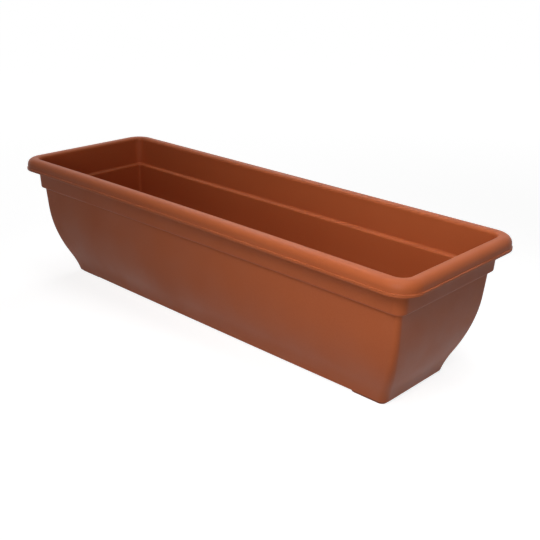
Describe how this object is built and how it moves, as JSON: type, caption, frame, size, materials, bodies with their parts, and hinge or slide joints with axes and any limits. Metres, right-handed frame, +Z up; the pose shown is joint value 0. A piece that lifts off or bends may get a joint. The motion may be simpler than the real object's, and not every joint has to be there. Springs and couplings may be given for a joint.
{
  "type": "window box planter",
  "caption": "Long rectangular window box trough with a rolled rim, a stepped neck, bell-shaped walls, low feet and push-in drain plugs.",
  "frame": {"origin": "on the ground under the middle of the trough", "axes": "+X along the length, +Z up, the long front wall faces -Y"},
  "size_m": [0.6, 0.2, 0.154],
  "materials": {
    "terracotta_plastic": "satin-matte moulded polypropylene in terracotta orange-brown",
    "plug_plastic": "soft matte moulded polyethylene, a darker brown"
  },
  "bodies": {
    "trough": {"trough": "terracotta_plastic"},
    "drain_plug_1_body": {"drain_plug_1": "plug_plastic"},
    "drain_plug_2_body": {"drain_plug_2": "plug_plastic"},
    "drain_plug_3_body": {"drain_plug_3": "plug_plastic"},
    "drain_plug_4_body": {"drain_plug_4": "plug_plastic"},
    "drain_plug_5_body": {"drain_plug_5": "plug_plastic"},
    "drain_plug_6_body": {"drain_plug_6": "plug_plastic"}
  },
  "joints": [
    {"name": "drain_plug_1_pull", "type": "slide", "parent": "trough", "child": "drain_plug_1_body", "axis": [0, 0, 1], "range_m": [0, 0.012]},
    {"name": "drain_plug_2_pull", "type": "slide", "parent": "trough", "child": "drain_plug_2_body", "axis": [0, 0, 1], "range_m": [0, 0.012]},
    {"name": "drain_plug_3_pull", "type": "slide", "parent": "trough", "child": "drain_plug_3_body", "axis": [0, 0, 1], "range_m": [0, 0.012]},
    {"name": "drain_plug_4_pull", "type": "slide", "parent": "trough", "child": "drain_plug_4_body", "axis": [0, 0, 1], "range_m": [0, 0.012]},
    {"name": "drain_plug_5_pull", "type": "slide", "parent": "trough", "child": "drain_plug_5_body", "axis": [0, 0, 1], "range_m": [0, 0.012]},
    {"name": "drain_plug_6_pull", "type": "slide", "parent": "trough", "child": "drain_plug_6_body", "axis": [0, 0, 1], "range_m": [0, 0.012]}
  ]
}
